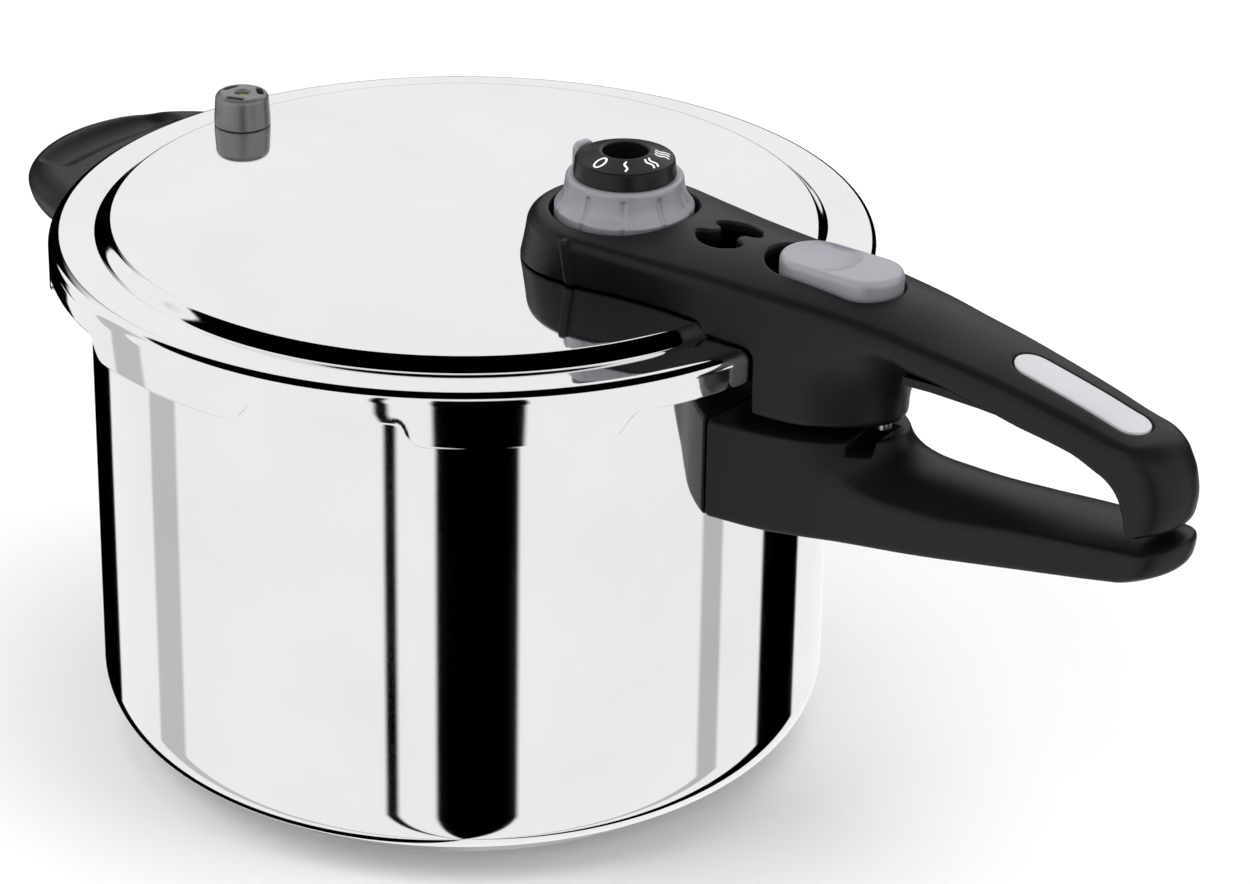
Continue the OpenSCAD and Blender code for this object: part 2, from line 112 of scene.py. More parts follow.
def curve(*points):
    """A smooth curve through points that never overshoots them, level outside their range."""
    xs, ys = np.array(points, float).T
    step = np.diff(xs)
    rise = np.diff(ys) / step
    slope = np.zeros(len(xs))
    same = rise[:-1] * rise[1:] > 0
    slope[1:-1][same] = 2 * (rise[:-1] * rise[1:])[same] / (rise[:-1] + rise[1:])[same]

    def value(x):
        x = np.clip(x, xs[0], xs[-1])
        i = np.clip(np.searchsorted(xs, x, side="right") - 1, 0, len(xs) - 2)
        h = step[i]
        t = (x - xs[i]) / h
        return (
            ys[i] * (1 + 2 * t) * (1 - t) ** 2
            + ys[i + 1] * t * t * (3 - 2 * t)
            + h * slope[i] * t * (1 - t) ** 2
            + h * slope[i + 1] * t * t * (t - 1)
        )

    return value


def ellipse(u, v, a, b):
    """Nearly the distance from an ellipse with half axes a and b."""
    q = np.sqrt((u / a) ** 2 + (v / b) ** 2) + 1e-9
    steep = np.sqrt((u / a**2) ** 2 + (v / b**2) ** 2) + 1e-9
    return (q - 1) * q / steep


def union(*fields):
    return functools.reduce(np.minimum, fields)


def box(x, y, z, lo, hi):
    dx = np.maximum(lo[0] - x, x - hi[0])
    dy = np.maximum(lo[1] - y, y - hi[1])
    dz = np.maximum(lo[2] - z, z - hi[2])
    return np.maximum(np.maximum(dx, dy), dz)


def rod(x, y, z, cx, cy, r, z0, z1):
    """An upright cylinder from z0 to z1."""
    return np.maximum(np.hypot(x - cx, y - cy) - r, np.maximum(z0 - z, z - z1))


def stadium(x, y, length, width):
    """A slot's outline, with round ends along x."""
    gap = (length - width) / 2
    return np.hypot(np.maximum(np.abs(x) - gap, 0), y) - width / 2


def turned(x, y, degrees):
    """A plan point seen in axes turned by so many degrees."""
    c, s = math.cos(math.radians(degrees)), math.sin(math.radians(degrees))
    return c * x + s * y, c * y - s * x


# ---------------------------------------------------------------- meshes


def new_object(name, vertices, faces, normals=None):
    """A smooth-shaded object from points in millimetres."""
    mesh = bpy.data.meshes.new(name)
    mesh.from_pydata(np.asarray(vertices) * MM, [], faces)
    mesh.update()
    obj = bpy.data.objects.new(name, mesh)
    bpy.context.scene.collection.objects.link(obj)
    for polygon in mesh.polygons:
        polygon.use_smooth = True
    if normals is not None:
        mesh.normals_split_custom_set_from_vertices(normals.tolist())
    return obj


CORNERS = np.array([(i, j, k) for i in (0, 1) for j in (0, 1) for k in (0, 1)])
EDGES = [(a, b) for a in range(8) for b in range(a + 1, 8) if abs(CORNERS[a] - CORNERS[b]).sum() == 1]


def gradient(field, p, step):
    """Central differences of a field at points p."""
    out = np.empty_like(p)
    for axis in range(3):
        shift = np.zeros(3)
        shift[axis] = step
        out[:, axis] = (field(*(p + shift).T) - field(*(p - shift).T)) / (2 * step)
    return out


def moulded(name, field, lo, hi, cell):
    """The surface where a field is zero, as one closed mesh with the field's own normals."""
    lo, hi = np.array(lo, float) - 2 * cell, np.array(hi, float) + 2 * cell
    count = np.ceil((hi - lo) / cell).astype(int) + 1
    axes = [lo[a] + cell * np.arange(count[a]) for a in range(3)]
    values = field(axes[0][:, None, None], axes[1][None, :, None], axes[2][None, None, :])
    values = np.ascontiguousarray(np.broadcast_to(values, tuple(count)))
    inside = values < 0
    corner = [
        inside[i : count[0] - 1 + i, j : count[1] - 1 + j, k : count[2] - 1 + k] for i, j, k in CORNERS
    ]
    mixed = np.logical_or.reduce(corner) & ~np.logical_and.reduce(corner)
    cells = np.argwhere(mixed)
    number = np.full(mixed.shape, -1, np.int64)
    number[tuple(cells.T)] = np.arange(len(cells))
    at = [values[tuple((cells + c).T)] for c in CORNERS]
    total, hits = np.zeros((len(cells), 3)), np.zeros(len(cells))
    for a, b in EDGES:
        cut = (at[a] < 0) != (at[b] < 0)
        share = np.where(cut, at[a] / np.where(cut, at[a] - at[b], 1), 0)
        total += np.where(cut[:, None], CORNERS[a] + share[:, None] * (CORNERS[b] - CORNERS[a]), 0)
        hits += cut
    points = lo + cell * (cells + total / hits[:, None])
    for _ in range(3):  # settle the points onto the surface
        slope = gradient(field, points, cell * 0.2)
        move = (field(*points.T) / np.maximum((slope**2).sum(1), 1e-6))[:, None] * slope
        length = np.linalg.norm(move, axis=1, keepdims=True)
        points -= move * np.minimum(1, 0.4 * cell / np.maximum(length, 1e-9))
    quads = []
    for axis in range(3):
        u, v = (axis + 1) % 3, (axis + 2) % 3
        first = np.take(inside, range(count[axis] - 1), axis)
        second = np.take(inside, range(1, count[axis]), axis)
        where = np.argwhere(first != second)
        where = where[(where[:, u] > 0) & (where[:, v] > 0)]
        entering = second[tuple(where.T)]
        ring = []
        for du, dv in ((0, 0), (1, 0), (1, 1), (0, 1)):
            place = where.copy()
            place[:, u] -= du
            place[:, v] -= dv
            ring.append(number[tuple(place.T)])
        ring = np.stack(ring, 1)
        ring[entering] = ring[entering][:, ::-1]
        quads.append(ring)
    quads = np.concatenate(quads)
    normals = gradient(field, points, cell * 0.3)
    normals /= np.maximum(np.linalg.norm(normals, axis=1, keepdims=True), 1e-9)
    return new_object(name, points, quads.tolist(), normals)


def rounded(*points, steps=5):
    """A section's outline from (r, z, fillet radius) corners, each fillet as a short arc."""
    out = []
    count = len(points)
    for i, (r, z, fillet) in enumerate(points):
        here = np.array([r, z], float)
        if fillet == 0:
            out.append(here)
            continue
        before = np.array(points[i - 1][:2], float) - here
        after = np.array(points[(i + 1) % count][:2], float) - here
        before /= np.linalg.norm(before)
        after /= np.linalg.norm(after)
        half = math.acos(float(np.clip(before @ after, -1, 1))) / 2
        if half > math.pi / 2 - 0.02:
            out.append(here)
            continue
        hub = here + (before + after) / np.linalg.norm(before + after) * fillet / math.sin(half)
        start = here + before * fillet / math.tan(half) - hub
        end = here + after * fillet / math.tan(half) - hub
        a0, a1 = math.atan2(start[1], start[0]), math.atan2(end[1], end[0])
        sweep = (a1 - a0 + math.pi) % (2 * math.pi) - math.pi
        for t in np.linspace(0, 1, steps + 1):
            out.append(hub + fillet * np.array([math.cos(a0 + sweep * t), math.sin(a0 + sweep * t)]))
    return np.array(out)


def lathed(name, section, segments=256, centre=(0, 0), closed=True):
    """Turns a section of (r, z) points, run anticlockwise, about a vertical line.
    section may be a function of the angle in degrees. Flat faces count for more in the normals."""
    angles = np.arange(segments) * 360 / segments
    sections = np.array([section(a) if callable(section) else section for a in angles])
    turn = np.radians(angles)[:, None]
    r, z = sections[..., 0], sections[..., 1]
    points = np.stack([centre[0] + r * np.cos(turn), centre[1] + r * np.sin(turn), z], -1)
    count = points.shape[1]
    obj_mesh = bmesh.new()
    vertices = [[obj_mesh.verts.new(p * MM) for p in ring] for ring in points]
    for i in range(segments):
        j = (i + 1) % segments
        for k in range(count if closed else count - 1):
            m = (k + 1) % count
            obj_mesh.faces.new((vertices[i][k], vertices[j][k], vertices[j][m], vertices[i][m]))
    bmesh.ops.remove_doubles(obj_mesh, verts=obj_mesh.verts, dist=1e-6)
    bmesh.ops.dissolve_degenerate(obj_mesh, dist=1e-7, edges=obj_mesh.edges)
    bmesh.ops.recalc_face_normals(obj_mesh, faces=obj_mesh.faces)
    mesh = bpy.data.meshes.new(name)
    obj_mesh.to_mesh(mesh)
    obj_mesh.free()
    obj = bpy.data.objects.new(name, mesh)
    bpy.context.scene.collection.objects.link(obj)
    weighted_normals(mesh)
    return obj


def weighted_normals(mesh):
    """Smooth normals in which a face counts by its area, so large flat faces stay flat."""
    total = np.zeros((len(mesh.vertices), 3))
    for polygon in mesh.polygons:
        polygon.use_smooth = True
        total[list(polygon.vertices)] += np.array(polygon.normal) * polygon.area
    total /= np.maximum(np.linalg.norm(total, axis=1, keepdims=True), 1e-12)
    mesh.normals_split_custom_set_from_vertices(total.tolist())


# ---------------------------------------------------------------- materials


class Nodes:
    """Short names for the few node kinds the materials use."""

    def __init__(self, tree):
        self.tree = tree
        tree.nodes.clear()

    def new(self, kind, **inputs):
        node = self.tree.nodes.new(kind)
        for name, value in inputs.items():
            self.set(node, name.replace("_", " "), value)
        return node

    def set(self, node, name, value):
        socket = node.inputs[name]
        if isinstance(value, bpy.types.NodeSocket):
            self.tree.links.new(value, socket)
        else:
            socket.default_value = value

    def math(self, operation, a, b=0.0, clamp=False):
        node = self.tree.nodes.new("ShaderNodeMath")
        node.operation = operation
        node.use_clamp = clamp
        self.set(node, 0, a)
        self.set(node, 1, b)
        return node.outputs[0]

    def spread(self, value, lo, hi, from_lo=0.3, from_hi=0.7):
        """lo to hi as a value goes from from_lo to from_hi; the defaults suit a noise."""
        node = self.new("ShaderNodeMapRange")
        self.set(node, "Value", value)
        for name, number in zip(("From Min", "From Max", "To Min", "To Max"), (from_lo, from_hi, lo, hi)):
            node.inputs[name].default_value = number
        return node.outputs["Result"]

    def noise(self, where, scale, detail=3.0, stretch=(1, 1, 1)):
        mapping = self.new("ShaderNodeMapping", Vector=where)
        mapping.inputs["Scale"].default_value = stretch
        node = self.new("ShaderNodeTexNoise", Vector=mapping.outputs[0], Scale=scale, Detail=detail)
        return node.outputs["Fac"]

    def blend(self, share, first, second):
        node = self.tree.nodes.new("ShaderNodeMix")
        node.data_type = "RGBA"
        self.set(node, "Factor", share)
        for socket, colour in ((node.inputs[6], first), (node.inputs[7], second)):
            if isinstance(colour, bpy.types.NodeSocket):
                self.tree.links.new(colour, socket)
            else:
                socket.default_value = (*colour, 1)
        return node.outputs[2]


def finish_of(name, colours, rough, metallic=0.0, grain=(900, 0), stretch=(1, 1, 1), specular=0.5):
    """A moulded, sheet or machined finish.
    colours: the two colours it varies between; rough: its two roughnesses;
    grain: scale and depth, in mm, of a fine surface grain; stretch: how its marks are drawn out."""
    scale, depth = grain
    material = bpy.data.materials.new(name)
    material.use_nodes = True
    n = Nodes(material.node_tree)
    where = n.new("ShaderNodeTexCoord").outputs["Object"]
    shader = n.new("ShaderNodeBsdfPrincipled")
    broad = n.noise(where, 22.0, 4.0)
    fine = n.noise(where, scale, 2.0, stretch)
    n.set(shader, "Base Color", n.blend(n.spread(broad, 0, 1), *colours))
    mixed = n.math("ADD", n.math("MULTIPLY", broad, 0.5), n.math("MULTIPLY", fine, 0.5))
    n.set(shader, "Roughness", n.spread(mixed, *rough))
    shader.inputs["Metallic"].default_value = metallic
    shader.inputs["Specular IOR Level"].default_value = specular
    if depth:
        bump = n.new("ShaderNodeBump", Height=fine)
        bump.inputs["Strength"].default_value = 1.0
        bump.inputs["Distance"].default_value = depth * MM
        n.set(shader, "Normal", bump.outputs[0])
    out = n.new("ShaderNodeOutputMaterial")
    n.tree.links.new(shader.outputs[0], out.inputs["Surface"])
    return material


LOOKS = {
    "polished_steel": dict(
        colours=((0.80, 0.80, 0.81), (0.84, 0.84, 0.84)), rough=(0.035, 0.06), metallic=1.0
    ),
    "base_steel": dict(
        colours=((0.50, 0.50, 0.51), (0.58, 0.58, 0.59)),
        rough=(0.30, 0.42),
        metallic=1.0,
        grain=(260, 0.004),
        stretch=(1, 1, 30),
    ),
    "plain_steel": dict(
        colours=((0.55, 0.56, 0.57), (0.66, 0.66, 0.67)), rough=(0.22, 0.34), metallic=1.0, grain=(500, 0.004)
    ),
    "aluminium": dict(
        colours=((0.60, 0.60, 0.61), (0.70, 0.70, 0.70)), rough=(0.35, 0.5), metallic=1.0, grain=(700, 0.006)
    ),
    "handle_plastic": dict(
        colours=((0.0040, 0.0035, 0.0046), (0.0056, 0.0049, 0.0064)),
        rough=(0.36, 0.46),
        grain=(1500, 0.012),
        specular=0.26,
    ),
    "inner_plastic": dict(
        colours=((0.005, 0.005, 0.0055), (0.008, 0.008, 0.0085)),
        rough=(0.5, 0.62),
        grain=(900, 0.01),
        specular=0.3,
    ),
    "silicone": dict(
        colours=((0.06, 0.06, 0.065), (0.08, 0.08, 0.085)), rough=(0.42, 0.55), grain=(600, 0.01)
    ),
    "plate_metal": dict(
        colours=((0.60, 0.61, 0.63), (0.66, 0.67, 0.69)),
        rough=(0.28, 0.38),
        metallic=0.7,
        grain=(1400, 0.002),
        stretch=(1, 12, 1),
    ),
    "grey_plastic": dict(
        colours=((0.30, 0.30, 0.335), (0.34, 0.34, 0.375)),
        rough=(0.36, 0.48),
        metallic=0.35,
        grain=(2200, 0.01),
    ),
    "dial_plastic": dict(
        colours=((0.0045, 0.0045, 0.0055), (0.006, 0.006, 0.0072)),
        rough=(0.3, 0.4),
        grain=(1400, 0.008),
        specular=0.3,
    ),
    "mark_paint": dict(
        colours=((0.78, 0.78, 0.78), (0.85, 0.85, 0.85)), rough=(0.45, 0.55), grain=(900, 0.003)
    ),
    "signal_plastic": dict(
        colours=((0.012, 0.011, 0.012), (0.018, 0.016, 0.018)), rough=(0.35, 0.45), grain=(900, 0.006)
    ),
    "valve_metal": dict(
        colours=((0.20, 0.20, 0.205), (0.26, 0.26, 0.265)),
        rough=(0.32, 0.44),
        metallic=0.75,
        grain=(1300, 0.008),
    ),
    "brass": dict(
        colours=((0.48, 0.36, 0.15), (0.55, 0.42, 0.2)), rough=(0.25, 0.38), metallic=1.0, grain=(600, 0.004)
    ),
}
FINISHES = {name: finish_of(name, **look) for name, look in LOOKS.items()}


def place(piece, body, slot, *nodes):
    """Gives a finished piece its material, its body and the CAD nodes it stands for."""
    piece.data.materials.clear()
    piece.data.materials.append(FINISHES[slot])
    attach(piece, body)
    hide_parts(*nodes)
    return piece


# ---------------------------------------------------------------- upper handle

# Curves run along x unless their comment says otherwise. A half is half a width, and a drop is how
# far a face falls from its middle to its edge.
NOSE = 59.4  # the nose's centre at the top, which is also the knob's
NOSE_FOOT = 52.4  # its centre at the lid
NOSE_LENGTH, FOOT_LENGTH = 27.5, 24.4  # from those centres to the front
CROWN_END = 241.2  # where the top face starts to close round the tip
TIP_LENGTH = 9.0
CASING_FLOOR = 143.9  # the casing's underside beside the pot
POST_END, POST_DEPTH, POST_HALF = 157.4, 21.4, 21.6  # the rounded end of the block beside the pot
BASE_SCREWS = [(bx, by) for bx in (45, 82) for by in (-13, 13)]
GRIP_SCREWS = ((172, 166.1, 160, 172.5), (215, 163.2, 158, 165.1))  # x, the boss's underside, the hole's ends
WINDOW_R, BITE_AT, BITE_R = 9.4, 6.3, 2.7
CROWN_CENTRE = curve(
    (NOSE, 185.5), (78, 185.5), (97, 185.4), (120, 184.9), (135, 184.3), (150, 183.0), (161, 181.4),
    (175, 178.5), (190, 175.7), (205, 172.5), (219, 169.2), (230, 166.2), (240, 164.2), (248, 162.8),
)  # fmt: skip
CROWN_DROP = curve(
    (NOSE, 3.0), (80, 4.0), (95, 4.6), (125, 4.9), (150, 4.4), (188, 2.2), (220, 1.7), (240, 1.2)
)  # fmt: skip
TOP_HALF = curve(
    (NOSE, 28.0), (64, 27.9), (70, 27.3), (86, 25.4), (101, 23.6), (131, 21.3), (161, 18.7), (190, 16.0),
    (219, 14.0), (235, 12.8), (244, 12.2),
)  # fmt: skip
FOOT_HALF = curve(
    (NOSE_FOOT, 24.8), (60, 24.6), (65, 24.2), (71, 23.0), (85, 21.8), (95, 22.1), (104, 22.8),
    (115, 22.9), (131, 21.6), (161, 18.7), (190, 16.0), (219, 14.0), (235, 12.8), (244, 12.2),
)  # fmt: skip
BELLY_CENTRE = curve(
    (150, 163.3), (175, 163.3), (190, 162.4), (205, 160.3), (219, 157.8), (228, 154.8), (236, 154.4)
)  # fmt: skip
BELLY_RISE = curve(
    (146, 10.8), (156, 10.8), (163, 9.4), (169, 7.0), (180, 4.6), (191, 2.6), (205, 1.0), (236, 0.4)
)  # fmt: skip
# how far out the tip reaches, by height
TIP_END = curve(
    (138, 246.5), (141, 248.8), (144, 249.8), (148, 250.2), (154, 249.2), (159, 246.8), (165, 243.2)
)  # fmt: skip
# how low the casing comes over the lid, by radius
LID_CLEAR = curve(
    (102.6, LID_TOP + 0.4), (104.6, LID_TOP + 0.1), (107.9, BAND_Z + 0.7), (109.6, BAND_Z + 0.4)
)  # fmt: skip


def top_of_handle(x, y):
    """Height of the crowned top face."""
    mid = np.clip(x, NOSE, CROWN_END)
    across = (y / TOP_HALF(mid)) ** 2
    nose = (np.minimum(x - NOSE, 0) / NOSE_LENGTH) ** 2
    tip = (np.maximum(x - CROWN_END, 0) / TIP_LENGTH) ** 2
    return CROWN_CENTRE(mid) - CROWN_DROP(mid) * (across + nose + tip)


def handle_side(x, y, z):
    """The flank: narrow at the lid, wide at the crease, round at the nose and at the tip."""
    crease = CROWN_CENTRE(x) - CROWN_DROP(x)
    t = np.clip((z - LID_TOP) / (crease - LID_TOP), 0, 1)
    t = t * (1.25 - 0.25 * t)
    start = NOSE_FOOT + (NOSE - NOSE_FOOT) * t
    end = TIP_END(z) - TIP_LENGTH
    mid = np.clip(x, start, end)
    half = FOOT_HALF(mid) + (TOP_HALF(mid) - FOOT_HALF(mid)) * t
    nose = ellipse(x - start, y, FOOT_LENGTH + (NOSE_LENGTH - FOOT_LENGTH) * t, half)
    tip = ellipse(x - end, y, TIP_LENGTH, half)
    return np.where(x < start, nose, np.where(x > end, tip, np.abs(y) - half))


def post_plan(x, y):
    """The rounded end of the block beside the pot: a parabola in plan."""
    steep = 2 * POST_DEPTH / POST_HALF**2 * y
    return (x - POST_END + POST_DEPTH * (y / POST_HALF) ** 2) / np.sqrt(1 + steep**2)


def window_plan(x, y):
    """A round window with a bite out of two sides."""
    u, v = turned(x - PIN_X, y, -5)
    past = np.abs(u) - BITE_AT
    bite = smin(
        np.hypot(np.maximum(past, 0), v) - BITE_R,
        smax(BITE_AT + 0.3 - np.abs(u), np.abs(v) - 2.9 - 0.35 * past, 0.5),
        0.8,
    )
    bite = np.where(past < 0, np.hypot(past, v) - BITE_R, bite)
    return smax(np.hypot(u, v) - WINDOW_R, -bite, 2.2)


def nose_rib(x, y, z):
    """A short rib down the near side of the nose."""
    rib = smax(np.abs(x - 59.2) - 1.5, np.abs(z - 173.4) - 8.8, 1.2)
    rib = smax(rib, handle_side(x, y, z) - 1.2, 0.6)
    return smax(rib, y + 15, 0.5)


def casing_field(x, y, z):
    """The casing's outside."""
    top = (z - top_of_handle(x, y)) * 0.985
    outer = smax(handle_side(x, y, z), top, 3.4)
    # the underside: a belly, the post beside the pot and the foot at the tip
    across = np.minimum(np.abs(y) / TOP_HALF(np.clip(x, NOSE, 244)), 1.3)
    belly = (BELLY_CENTRE(x) + BELLY_RISE(x) * across**2.2 - z) * 0.9
    post = smax(post_plan(x, y), CASING_FLOOR - z, 3.0)
    under = smin(post, belly, 16)
    foot = smax(236.9 - 0.2 * (z - 139.8) - x, (137.7 + 0.28 * (x - 238.6) - z) * 0.96, 3.4)
    under = smin(under, foot, 11)
    body = smax(outer, under, 1.8)
    r = np.hypot(x, y)
    over_lid = smax(r - LID_R - 0.9, z - LID_CLEAR(r), 4.0)
    body = smax(body, -over_lid, 0.5)
    return smin(body, smax(nose_rib(x, y, z), -over_lid, 0.5), 0.3)


def casing_hollows(x, y, z):
    """The hollows inside and the ways for screws, pin and bolt, as they are in the CAD casing."""
    r = np.hypot(x - KNOB_X, y)
    plan = np.minimum(r - 24.3, box(x, y, 0, (KNOB_X, -19, -1), (116, 19, 1)))
    plan = union(-plan, x - 32, 22.3 - np.abs(y))
    bosses = union(*(rod(x, y, z, bx, by, 3.4, 171.1, 190) for bx, by in BASE_SCREWS))
    over_lid = -union(plan, 6.75 - np.abs(z - 166.75), bosses)
    along = np.clip(x, 166, 226)
    grip_half = np.interp(along, (166, 190, 219, 226), (14.6, 12.6, 10.6, 10))
    roof = np.interp(along, (166, 175, 190, 205, 226), (175.4, 173.4, 170.8, 167.6, 163.6))
    grip = np.maximum(np.maximum(np.abs(x - 196) - 30, np.abs(y) - grip_half), z - roof)
    for bx, under, _, _ in GRIP_SCREWS:
        grip = np.maximum(grip, -rod(x, y, z, bx, 0, 3.6, under, 180))
    return union(
        np.maximum(r - 13, 165 - z),
        over_lid,
        *(rod(x, y, z, bx, by, 1.6, 171, 174.4) for bx, by in BASE_SCREWS),
        # over the pin, and round the slider
        box(x, y, z, (86, -17, 172), (112, 17, 181.4)),
        box(x, y, z, (111, -10, 166), (160.8, 10, 179)),
        # the bolt's way down
        rod(x, y, z, BOLT_X, 0, 2.8, 140, 170),
        rod(x, y, z, BOLT_X, 0, 4.05, 140, 152),
        # the bracket and its screw
        box(x, y, z, (108.4, -13.4, 160), (135, 13.4, 168.6)),
        rod(x, y, z, 130, 0, 2.6, 140, 170),
        rod(x, y, z, 130, 0, 4.6, 160, 171.6),
        rod(x, y, z, 130, 0, 4.9, 140, 148.5),
        grip,
        *(rod(x, y, z, bx, 0, 1.6, z0, z1) for bx, _, z0, z1 in GRIP_SCREWS),
    )


def casing(x, y, z):
    """The whole casing, with its openings on top cut last so that each keeps its own rounding."""
    r = np.hypot(x - KNOB_X, y)
    well = smax(np.abs(r - 18.3) - 3.3, 176 - z, 1.0)
    button_way = smax(stadium(x - (BUTTON_X - 2.2), y, 43, 21.8), 176 - z, 0.3)
    window = smax(window_plan(x, y), 178 - z, 0.3)
    plate_seat = smax(stadium(x - PLATE_X, y, 43, 12.4), top_of_handle(x, 0 * y) - 1.25 - z, 0.3)
    field = smax(casing_field(x, y, z), -casing_hollows(x, y, z), 0.3)
    for opening, edge in ((well, 0.9), (button_way, 1.3), (window, 0.9), (plate_seat, 0.7)):
        field = smax(field, -opening, edge)
    return field


def name_plate(x, y, z):
    """The blank badge, which follows the top face."""
    outline = stadium(x - PLATE_X, y, 42.3, 11.7)
    plate = smax(outline, z - top_of_handle(x, y) - 0.12, 0.5)
    return smax(plate, top_of_handle(x, 0 * y) - 1.15 - z, 0.3)


# ---------------------------------------------------------------- lower handle

LOWER_TOP = 139.9  # beside the pot
LOWER_TIP = 10.0
LOWER_HALF = curve(
    (104, 26.0), (110, 25.4), (125, 23.6), (137, 21.2), (150, 19.0), (180, 17.4), (200, 16.0), (223, 14.8),
    (241, 13.2),
)  # fmt: skip
LOWER_CENTRE = curve((150, 134.1), (176, 134.3), (207, 135.0), (221, 135.4), (236, 136.2), (248, 136.9))
LOWER_DROP = curve((140, 6.6), (155, 7.0), (163, 7.0), (179, 7.0), (200, 4.8), (223, 2.7), (240, 2.4))
LOWER_UNDER = curve(
    (108, 109.0), (120, 109.0), (135, 109.6), (163, 112.6), (192, 116.9), (222, 121.9), (240, 124.8),
    (252, 127.4),
)  # fmt: skip
# how far out the tip reaches, by height
LOWER_END = curve((124, 244.5), (128, 248.4), (131, 250.0), (134.6, 250.5), (138, 250.2))


def lower_handle(x, y, z):
    end = LOWER_END(z) - LOWER_TIP
    half = LOWER_HALF(np.clip(x, 104, end))
    side = np.where(x > end, ellipse(x - end, y, LOWER_TIP, half), np.abs(y) - half)
    across = np.minimum(np.abs(y) / LOWER_HALF(np.clip(x, 104, 241)), 1.3)
    grip = (z - LOWER_CENTRE(x) + LOWER_DROP(x) * across**2.1) * 0.95
    post = smax(post_plan(x, y), z - LOWER_TOP, 1.2)
    body = smax(side, smin(post, grip, 12), 1.6)
    body = smax(body, (LOWER_UNDER(x) - z) * 0.98, 2.4)
    body = smax(body, 108.6 - x, 1)
    body = smax(body, POT_R + MATE_GAP - np.hypot(x, y), 0.6)
    hidden = union(
        box(x, y, z, (108, -9, 117.9), (136.1, 9, 128.1)),
        box(x, y, z, (100, -15.1, 112.9), (112.5, 15.1, 135.1)),
        rod(x, y, z, 128, 0, 2.7, 105, 130),
        rod(x, y, z, 128, 0, 5.0, 105, 114),
    )
    body = smax(body, -hidden, 0.3)
    notch = np.maximum(np.maximum(np.abs(x - BOLT_X), y) - 3.1, 136.4 - z)
    return smax(body, -notch, 0.4)


# ---------------------------------------------------------------- helper handle

HELPER_X, HELPER_R = -114, 47.4  # the middle of its round outline
HELPER_TOP = 154.2
HELPER_WIDEST = 148.2  # the height at which it is widest
# its underside, by distance from that middle
HELPER_UNDER = curve(
    (0, 132.2), (12, 132.2), (26, 134.4), (36, 137.2), (42, 140.6), (46, 144.8), (47.5, 148), (52, 156)
)  # fmt: skip


def helper_handle(x, y, z):
    out = np.hypot(x - HELPER_X, y)
    r = np.hypot(x, y)
    brow = ellipse(
        np.maximum(out - HELPER_R + 9.0, 0), z - HELPER_WIDEST, 9.0, HELPER_TOP - HELPER_WIDEST
    )
    body = smax(np.where(z > HELPER_WIDEST, brow, out - HELPER_R), HELPER_UNDER(out) - z, 3)
    body = smax(body, z - HELPER_TOP, 1.5)
    body = smax(body, POT_R + MATE_GAP - r, 0.6)
    body = smax(body, -smax(r - LID_R - 1.4, 146.1 - z, 0.8), 1.2)
    groove = np.hypot(r - 147, z - 159.4) - 9
    groove = smax(groove, np.abs(y) - 27, 5)
    body = smax(body, -groove, 1.6)
    hidden = union(
        box(x, y, z, (-135, -9, 136.9), (-108, 9, 144.1)),
        box(x, y, z, (-112.5, -17.1, 132.5), (-100, 17.1, 145.2)),
        rod(x, y, z, -126, 0, 2.7, 120, 146),
        rod(x, y, z, -126, 0, 5.0, 120, 134.6),
    )
    return smax(body, -hidden, 0.3)


# ---------------------------------------------------------------- knob, button and valve

COLLAR_BASE, COLLAR_TOP = 176.4, 194.0
# the collar's radius, by height
COLLAR_R = curve(
    (COLLAR_BASE, 20.25), (184.6, 20.25), (185.6, 19.6), (187, 18.5), (189.5, 17.6), (192.5, 17.15),
    (195.4, 16.9),
)  # fmt: skip
GROOVES = [18 + 36 * k for k in range(10)]
POINTER = 173  # degrees


def collar(x, y, z):
    x = x - KNOB_X
    r = np.hypot(x, y)
    waist, half = (COLLAR_BASE + COLLAR_TOP) / 2, (COLLAR_TOP - COLLAR_BASE) / 2
    body = smax(r - COLLAR_R(z), np.abs(z - waist) - half, 1.1)
    for degrees in GROOVES:
        u, v = turned(x, y, degrees)
        cut = np.hypot(u - COLLAR_R(z) - 0.25, v) - 0.85
        cut = smax(smax(cut, z - 192, 1.2), 178 - z, 0.5)
        body = smax(body, -np.where(u > 0, cut, 9), 0.5)
    u, v = turned(x, y, POINTER)
    tab = np.hypot(np.maximum(np.abs(v) - 1.0, 0), np.maximum(z - 196.7, 0)) - 2.5
    tab = smax(smax(tab, np.abs(u - 16.9) - 1.3, 1.0), 184 - z, 0.5)
    body = smin(body, tab, 0.8)
    bores = union(np.maximum(r - 15.08, z - 186.6), r - 12.3, np.maximum(r - 15.3, COLLAR_TOP + 0.02 - z))
    return smax(body, -bores, 0.4)


def button(x, y, z):
    """The opening button, dished where the thumb goes."""
    u = x - BUTTON_X
    body = smax(stadium(u, y, 37.9, 20.9), np.abs(z - 182.8) - 4.5, 2.2)
    dish = np.sqrt((u + 6.6) ** 2 + y**2 + (z - 215.0) ** 2) - 30
    dish = smax(dish, stadium(u + 5.2, y, 26.5, 17.4), 0.5)
    return smax(body, -dish, 0.25)


